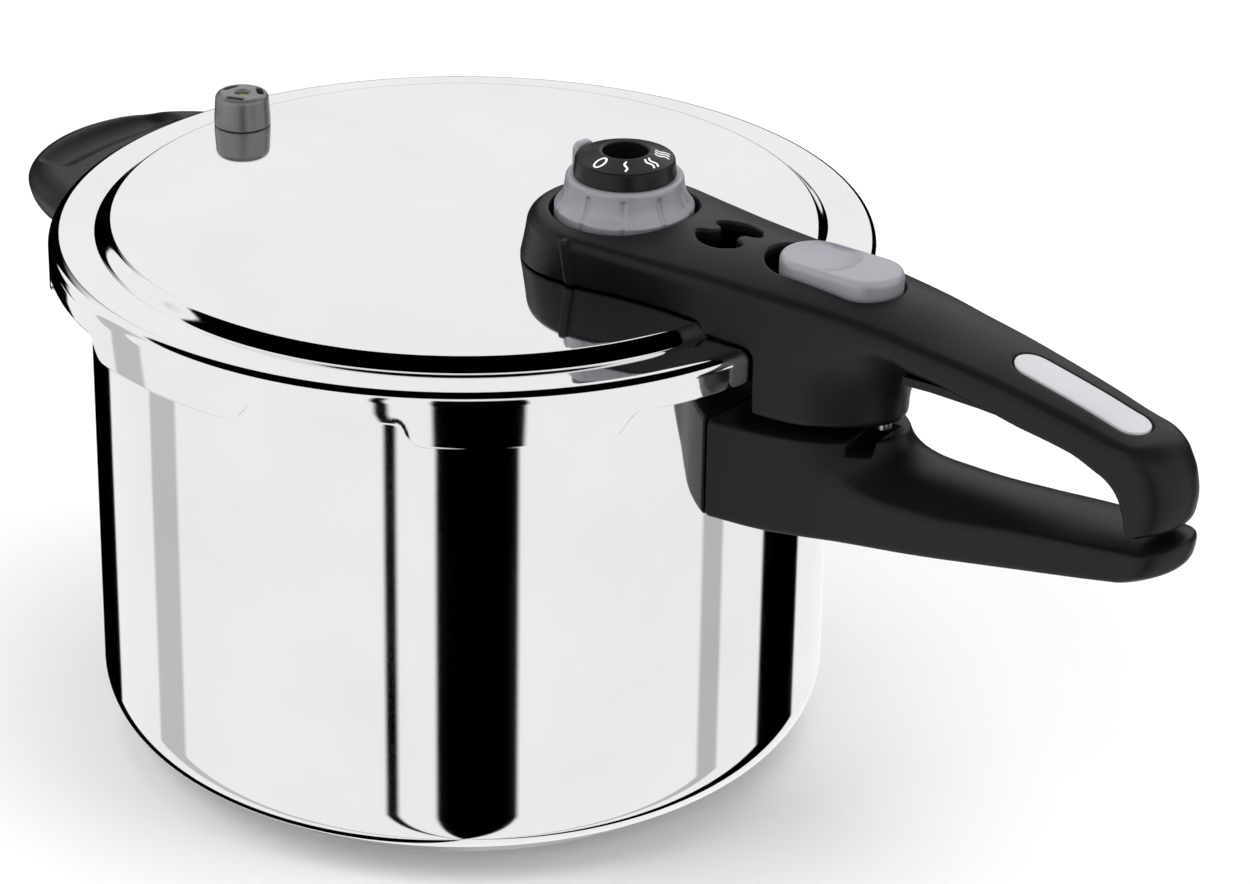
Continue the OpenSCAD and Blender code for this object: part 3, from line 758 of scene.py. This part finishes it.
def valve_cap(x, y, z):
    """The safety valve's cap: a cup in its top, three slots round it and a stem through the lid."""
    u, v = x - VALVE_X, y - VALVE_Y
    r = np.hypot(u, v)
    body = smax(r - (8.7 - 0.06 * np.maximum(z - 169, 0)), z - CAP_TOP, 2.2)
    body = smax(body, LID_TOP + 0.05 - z, 0.5)
    body = np.minimum(body, np.maximum(r - 4.5, np.maximum(158.6 - z, z - 170)))
    holes = np.minimum(np.maximum(r - 3.3, np.maximum(161 - z, z - 175.6)), r - 1.95)
    body = smax(body, -holes, 0.4)
    cup = np.sqrt(r**2 + (z - CAP_TOP - 1.3) ** 2) - 2.7
    body = smax(body, -cup, 0.5)
    for k in range(3):
        a, b = turned(u, v, 50 + 120 * k)
        slot = smax(np.abs(a - 5.6) - 0.95, np.abs(b) - 2.9, 1.2)
        body = smax(body, -smax(slot, 174.4 - z, 0.3), 0.35)
    return body


# ---------------------------------------------------------------- sheet-metal sections


def settle(t):
    """0 to 1 with level ends."""
    t = np.clip(t, 0, 1)
    return t * t * t * (t * (6 * t - 15) + 10)


def from_sector(angle, half, blend):
    """1 on a tab or lug, 0 between them, with a smooth change over blend degrees either side of half."""
    gap = (angle - TAB_START + PITCH / 2) % PITCH - PITCH / 2
    return float(settle((half + blend - abs(gap)) / (2 * blend)))


def arc(cx, cy, r, start, end, steps):
    """Points round an arc, from and to angles in degrees."""
    a = np.radians(np.linspace(start, end, steps + 1))
    return np.stack([cx + r * np.cos(a), cy + r * np.sin(a)], 1)


def lid_section(angle):
    """The lid's outline at one angle, anticlockwise from the middle of its underside."""
    tab = from_sector(angle, 14.4, 2.2)
    hook = from_sector(angle, 12.6, 0.9)
    foot = LID_TAB_Z + (1 - tab) * 6.5  # the rim stops 6.5 higher between the tabs
    r_in = LID_R - SHEET
    reach = 5.1 * hook  # each tab turns in under the pot's lug
    lip = 4.8 * hook  # and up again
    inner = r_in - reach
    lower = [
        (r_in, foot + SHEET),
        (inner + min(SHEET, reach), foot + SHEET),
        (inner + min(SHEET, reach), foot + SHEET + lip),
        (inner, foot + SHEET + lip),
        (inner, foot + 0.4),
        (inner + 0.3, foot),
        (LID_R - 0.9, foot),
        (LID_R - 0.35, foot + 0.2),
        (LID_R, foot + 0.9),
    ]
    t = np.linspace(0, 1, 17)[:, None]
    ease = 3 * t**2 - 2 * t**3
    step_in = np.hstack([103.0 + 5.0 * t, LID_TOP - SHEET - BAND_DROP * ease])
    step_out = np.hstack([109.2 - 5.0 * t, BAND_Z + BAND_DROP * ease])
    return np.vstack(
        [
            [(0, LID_TOP - SHEET), (60, LID_TOP - SHEET), (102, LID_TOP - SHEET)],
            step_in,
            [(110, BAND_Z - SHEET), (118.5, BAND_Z - SHEET)],
            arc(LID_R - 3.5, BAND_Z - 3.5, 3.5 - SHEET, 90, 0, 8),
            [(r_in, 157.0)],
            lower,
            [(LID_R, 157.0)],
            arc(LID_R - 3.5, BAND_Z - 3.5, 3.5, 0, 90, 14),
            [(118.0, BAND_Z), (111, BAND_Z)],
            step_out,
            [(103.0, LID_TOP), (60, LID_TOP), (0, LID_TOP)],
        ]
    )


def pot_section(angle):
    """The pot's outline at one angle, anticlockwise from the middle of its underside."""
    lug = from_sector(angle, 9.6, 0.4)
    rim = 115 + (LUG_R - 115) * lug
    corner, floor = 17.0, 6.5
    inner = corner - POT_WALL
    return np.vstack(
        [
            [(0, floor), (60, floor), (POT_R - corner - 1, floor)],
            arc(POT_R - corner, floor + corner, corner, -90, 0, 24),
            [(POT_R, 60), (POT_R, 110), (POT_R, 152.6), (POT_R + 0.25, 153.3), (POT_R + 0.9, 153.6)],
            [(rim - 0.75, 153.6), (rim - 0.2, 153.85), (rim, 154.35), (rim - 0.2, 154.85)],
            [(rim - 0.75, POT_TOP)],
            [(POT_R + 0.6, POT_TOP)],
            arc(POT_R + 0.6, POT_TOP - 1.8, 1.8, 90, 180, 6),
            [(POT_R - POT_WALL, 110), (POT_R - POT_WALL, 60)],
            arc(POT_R - corner, floor + corner, inner, 0, -90, 24),
            [(60, floor + POT_WALL), (0, floor + POT_WALL)],
        ]
    )


def bored(obj, holes):
    """Cuts upright round holes, given as (x, y, radius), through a sheet."""
    cutters = []
    for x, y, r in holes:
        ring = arc(x, y, r, 0, 360 * 63 / 64, 63)
        points = np.vstack([np.c_[ring, np.full(64, 140.0)], np.c_[ring, np.full(64, 190.0)]])
        faces = [(i, (i + 1) % 64, 64 + (i + 1) % 64, 64 + i) for i in range(64)]
        faces += [tuple(range(63, -1, -1)), tuple(range(64, 128))]
        cutter = new_object("cutter", points, faces)
        modifier = obj.modifiers.new("hole", "BOOLEAN")
        modifier.operation, modifier.solver, modifier.object = "DIFFERENCE", "EXACT", cutter
        cutters.append(cutter)
    bpy.context.view_layer.update()
    mesh = bpy.data.meshes.new_from_object(obj.evaluated_get(bpy.context.evaluated_depsgraph_get()))
    obj.modifiers.clear()
    obj.data = mesh
    for cutter in cutters:
        bpy.data.objects.remove(cutter)
    for polygon in mesh.polygons:
        polygon.use_smooth = True
    mesh.set_sharp_from_angle(angle=math.radians(40))
    return obj


# ---------------------------------------------------------------- build the pieces

CELL = 0.72  # the moulded meshes' cell, in mm


def mould(name, node, body, slot, field, share, lo, hi):
    """Builds a moulded piece in cells of share times CELL, in place of a CAD node."""
    place(moulded(name, field, lo, hi, CELL * share), body, slot, node)


mould(
    "handle_casing_shell", "handle_casing", "lid", "handle_plastic",
    casing, 1.0, (27.5, -29.5, 138), (251, 29.5, 187),
)  # fmt: skip
mould(
    "lower_handle_grip", "lower_handle", "pot", "handle_plastic",
    lower_handle, 0.9, (108, -25.5, 109), (251.5, 25.5, 141),
)  # fmt: skip
mould(
    "helper_handle_grip", "helper_handle", "pot", "handle_plastic",
    helper_handle, 0.9, (-163, -49, 131), (-100, 49, 155),
)  # fmt: skip
mould(
    "knob_collar", "selector_collar", "selector", "grey_plastic",
    collar, 0.5, (KNOB_X - 21, -21, 176), (KNOB_X + 21, 21, 199),
)  # fmt: skip
mould(
    "lock_button_cap", "lock_button", "button", "grey_plastic",
    button, 0.5, (BUTTON_X - 19.5, -11, 178), (BUTTON_X + 19.5, 11, 188),
)  # fmt: skip
mould(
    "valve_cap", "safety_valve_cap", "lid", "valve_metal",
    valve_cap, 0.4, (VALVE_X - 9, VALVE_Y - 9, 158), (VALVE_X + 9, VALVE_Y + 9, 179),
)  # fmt: skip
mould(
    "plate_blank", "name_plate", "lid", "plate_metal",
    name_plate, 0.4, (PLATE_X - 22, -6.5, 160), (PLATE_X + 22, 6.5, 176),
)  # fmt: skip

lid = lathed("lid_shell", lid_section, 840, closed=False)
lid = bored(lid, [(KNOB_X, 0, 5.1), (PIN_X, 0, 3.4), (VALVE_X, VALVE_Y, 4.6)])
place(lid, "lid", "polished_steel", "lid")
pot = lathed("pot_shell", pot_section, 720, closed=False)
place(pot, "pot", "polished_steel", "pot_body")

base_top = high("base_cap")[2]
cap_r = high("base_cap")[0]
cap = rounded(
    (0, 0, 0), (cap_r - 4, 0, 1.2), (cap_r, base_top - 0.6, 0.5), (cap_r - 0.6, base_top, 0.2),
    (cap_r - 4.9, 0.75, 0.3), (0, 0.75, 0),
)  # fmt: skip
place(lathed("base_disc_cap", cap, 360, closed=False), "pot", "base_steel", "base_cap")

dial_base = low("selector_dial")[2]
dial_r = high("selector_dial")[0] - KNOB_X
STEM_R, HOLE_R = 12.2, 6.6
SKIRT_Z = COLLAR_TOP + 0.1  # the dial's skirt, just clear of the collar
DIAL_HUB, DIAL_EDGE = 7.4, DIAL_TOP - 2.2  # the sloping face: its inner radius and its outer height
DIAL_RIM = dial_r - 0.7  # and its outer radius
dial = rounded(
    (HOLE_R, dial_base, 0.2), (STEM_R, dial_base, 0.2), (STEM_R, SKIRT_Z, 0.1), (dial_r - 0.1, SKIRT_Z, 0.25),
    (DIAL_RIM, DIAL_EDGE, 0.9), (DIAL_HUB, DIAL_TOP, 0.6), (HOLE_R, DIAL_TOP - 0.3, 0.2),
)  # fmt: skip
place(lathed("knob_dial", dial, 192, (KNOB_X, 0)), "selector", "dial_plastic", "selector_dial")

ring = rounded(
    (110.2, 155.3, 0.3), (114.6, 155.3, 0.6), (115.6, 157.6, 0.6), (121.2, 157.6, 0.5), (121.2, 159.7, 0.8),
    (119.3, 161.9, 0.8), (109.6, 161.9, 0.8), (108.4, 160.4, 0.5), (109.4, 157.2, 0.6),
)  # fmt: skip
place(lathed("gasket_ring", ring, 360), "gasket", "silicone", "gasket")


# ---------------------------------------------------------------- marks on the dial

MARKS_AT = (-95, -52, -8, 33)  # degrees round the dial
MARKS_R = 10.6
STROKE = 0.6


def ribbon(points, width):
    """The two edges of a flat mark of even width along a line."""
    along = np.gradient(points, axis=0)
    along /= np.linalg.norm(along, axis=1, keepdims=True)
    side = np.stack([-along[:, 1], along[:, 0]], 1) * width / 2
    return points + side, points - side


def prism(points, top, thick):
    """Corner points and faces of a flat stroke along a line, whose top face is at height top(point)."""
    left, right = ribbon(points, STROKE)
    corners = []
    for p, q in zip(left, right):
        corners += [(*p, top(p) - thick), (*q, top(q) - thick), (*q, top(q)), (*p, top(p))]
    faces = [(0, 1, 2, 3), tuple(4 * (len(points) - 1) + k for k in (3, 2, 1, 0))]
    for a in range(0, 4 * (len(points) - 1), 4):
        faces += [(a + k, a + 4 + k, a + 4 + (k + 1) % 4, a + (k + 1) % 4) for k in range(4)]
    return corners, faces


def marks():
    """A nought and one, two and three wisps of steam, printed round the dial's sloping face."""
    fall = (DIAL_TOP - DIAL_EDGE) / (DIAL_RIM - DIAL_HUB)
    vertices, faces = [], []
    for wisps, degrees in enumerate(MARKS_AT):
        if wisps == 0:
            a = np.linspace(0, 2 * math.pi, 33)
            lines = [np.stack([MARKS_R + 2.2 * np.cos(a), 1.35 * np.sin(a)], 1)]
        else:
            t = np.linspace(-1, 1, 17)
            wave = 0.4 * np.sin(t * math.pi * 1.2)
            shifts = (np.arange(wisps) - (wisps - 1) / 2) * 1.6
            lines = [np.stack([MARKS_R + 2.1 * t, shift + wave], 1) for shift in shifts]
        for line in lines:
            line = np.stack(turned(*line.T, -degrees), 1)
            corners, sides = prism(line, lambda p: DIAL_TOP + 0.05 - fall * (math.hypot(*p) - DIAL_HUB), 0.1)
            faces += [tuple(len(vertices) + k for k in side) for side in sides]
            vertices += corners
    obj = new_object("dial_symbols", np.array(vertices) + (KNOB_X, 0, 0), faces)
    tidy = bmesh.new()
    tidy.from_mesh(obj.data)
    bmesh.ops.recalc_face_normals(tidy, faces=tidy.faces)
    tidy.to_mesh(obj.data)
    tidy.free()
    for polygon in obj.data.polygons:
        polygon.use_smooth = False
    return obj


place(marks(), "selector", "mark_paint", "dial_marks")


# ---------------------------------------------------------------- CAD nodes that keep their shape

SLOT_OF = {part["node"]: part["material_slot"] for part in frame["record"]["subparts"]}
for name, node in frame["nodes"].items():
    if not node.hide_render:
        node.data.materials.clear()
        node.data.materials.append(FINISHES[SLOT_OF[name]])


# ---------------------------------------------------------------- studio

CAMERA_AZIMUTH, CAMERA_ELEVATION = math.radians(-51), math.radians(24.79)
CAMERA_AWAY = 1.3  # metres from the point it looks at
LOOK_AT = Vector((0, 0, 0.1135))
LENS = 123.76224  # mm, on a 36 mm sensor
OFF_AXIS = (0.0375, -0.01603)  # how far its view is turned to the right of that point and down, as tangents


def studio():
    """A pale paper floor, which the steel doesn't mirror."""
    half = 4.0
    corners = np.array([(-1, -1, 0), (1, -1, 0), (1, 1, 0), (-1, 1, 0)])
    floor = new_object("floor", corners * half / MM, [(0, 1, 2, 3)])
    material = bpy.data.materials.new("floor_paper")
    material.use_nodes = True
    n = Nodes(material.node_tree)
    where = n.new("ShaderNodeTexCoord").outputs["Object"]
    shader = n.new("ShaderNodeBsdfPrincipled", Roughness=0.8)
    n.set(shader, "Base Color", n.blend(n.noise(where, 6.0), (0.90, 0.90, 0.90), (0.93, 0.93, 0.93)))
    n.tree.links.new(shader.outputs[0], n.new("ShaderNodeOutputMaterial").inputs["Surface"])
    floor.data.materials.append(material)
    floor.visible_glossy = False


# Dark panels round the set, as from and to in degrees of azimuth and how dark: polished steel mirrors them.
FLAGS = [
    (137.6, 167.7, 1.0), (196.3, 209.5, 0.4), (284.7, 288.4, 1.0), (300.5, 325.7, 1.0), (388.4, 396.8, 0.45),
    (416.5, 439.4, 1.0),
]  # fmt: skip
CEILING = 0.545  # sine of the elevation where the dark ceiling starts, to left and right of the camera
NEAR_CEILING, FAR_CEILING = 0.17, 0.34  # how much higher it starts on the camera's side and opposite
FLAG_TOP = (0.42, 0.55)  # the dark panels fade out over these sines of elevation


def surroundings():
    """A white room with dark upright panels, a dark ceiling and a dark skirting, seen in the steel."""
    world = bpy.data.worlds.new("studio")
    bpy.context.scene.world = world
    world.use_nodes = True
    n = Nodes(world.node_tree)
    where = n.new("ShaderNodeTexCoord").outputs["Generated"]
    split = n.new("ShaderNodeSeparateXYZ", Vector=where)
    x, y, z = split.outputs
    azimuth = n.math("ARCTAN2", y, x)
    dark = 0.0
    for start, end, depth in FLAGS:
        centre = math.radians(((start + end) / 2 + 180) % 360 - 180)
        half = math.radians(end - start) / 2
        off = n.math("WRAP", n.math("SUBTRACT", azimuth, centre), math.pi)
        off.node.inputs[2].default_value = -math.pi
        edge = n.spread(n.math("ABSOLUTE", off), depth, 0.0, half - 0.012, half + 0.012)
        dark = n.math("MAXIMUM", dark, edge)
    dark = n.math("MULTIPLY", dark, n.spread(z, 1.0, 0.0, *FLAG_TOP))
    # the dark ceiling comes down lowest to left and right of the camera and least opposite to it
    towards_x = n.math("MULTIPLY", x, math.cos(CAMERA_AZIMUTH))
    towards = n.math("ADD", towards_x, n.math("MULTIPLY", y, math.sin(CAMERA_AZIMUTH)))
    level = n.math("SQRT", n.math("SUBTRACT", 1.0001, n.math("MULTIPLY", z, z)))
    facing = n.math("DIVIDE", towards, level)
    near_side = n.math("POWER", n.math("MAXIMUM", facing, 0.0), 2.0)
    far_side = n.math("POWER", n.math("MAXIMUM", n.math("MULTIPLY", facing, -1.0), 0.0), 1.5)
    higher = n.math("MULTIPLY", near_side, NEAR_CEILING)
    higher = n.math("ADD", higher, n.math("MULTIPLY", far_side, FAR_CEILING))
    edge_z = n.math("ADD", higher, CEILING)
    overhead = n.spread(n.math("SUBTRACT", z, edge_z), 0.0, 1.0, -0.01, 0.015)
    dark = n.math("MAXIMUM", dark, overhead)
    # a dark skirting along the far wall
    skirting = n.math("MULTIPLY", n.spread(z, 0.0, 1.0, -0.33, -0.31), n.spread(z, 1.0, 0.0, 0.12, 0.14))
    skirting = n.math("MULTIPLY", skirting, n.spread(facing, 1.0, 0.0, -0.66, -0.62))
    dark = n.math("MAXIMUM", dark, skirting)
    light = n.math("SUBTRACT", 1.0, dark)
    colour = n.blend(light, (0.0, 0.0, 0.0), (1.0, 1.0, 1.0))
    background = n.new("ShaderNodeBackground", Color=colour, Strength=1.0)
    n.tree.links.new(background.outputs[0], n.new("ShaderNodeOutputWorld").inputs["Surface"])


def lamp(name, where, size, power):
    """A soft round lamp over the set, which lights but isn't mirrored."""
    data = bpy.data.lights.new(name, "AREA")
    data.shape, data.size, data.energy = "DISK", size, power
    obj = bpy.data.objects.new(name, data)
    bpy.context.scene.collection.objects.link(obj)
    obj.location = where
    obj.rotation_euler = (Vector((0, 0, 0.1)) - Vector(where)).to_track_quat("-Z", "Y").to_euler()
    obj.visible_glossy = False


def camera():
    """The photograph's viewpoint: 51 degrees round from the handles, 24.8 degrees up and 1.3 m away.
    The camera is turned a little off the cooker's axis, as it was when the picture was taken."""
    data = bpy.data.cameras.new("camera")
    data.sensor_width = 36
    data.lens = LENS
    obj = bpy.data.objects.new("camera", data)
    bpy.context.scene.collection.objects.link(obj)
    level = math.cos(CAMERA_ELEVATION)
    away = Vector(
        (level * math.cos(CAMERA_AZIMUTH), level * math.sin(CAMERA_AZIMUTH), math.sin(CAMERA_ELEVATION))
    )
    obj.location = LOOK_AT + away * CAMERA_AWAY
    straight = (-away).to_track_quat("-Z", "Y")
    aside = Vector((*OFF_AXIS, -1)).normalized()
    swing = Vector((0, 0, -1)).rotation_difference(aside)
    obj.rotation_euler = (straight @ swing).to_euler()
    bpy.context.scene.camera = obj


studio()
surroundings()
lamp("key", (-0.9, -1.3, 1.9), 1.6, 26)
lamp("fill", (1.6, 0.4, 1.7), 1.6, 15)
lamp("top", (0.1, 0.3, 2.2), 2.2, 30)
camera()
bpy.context.scene.view_settings.view_transform = "Standard"
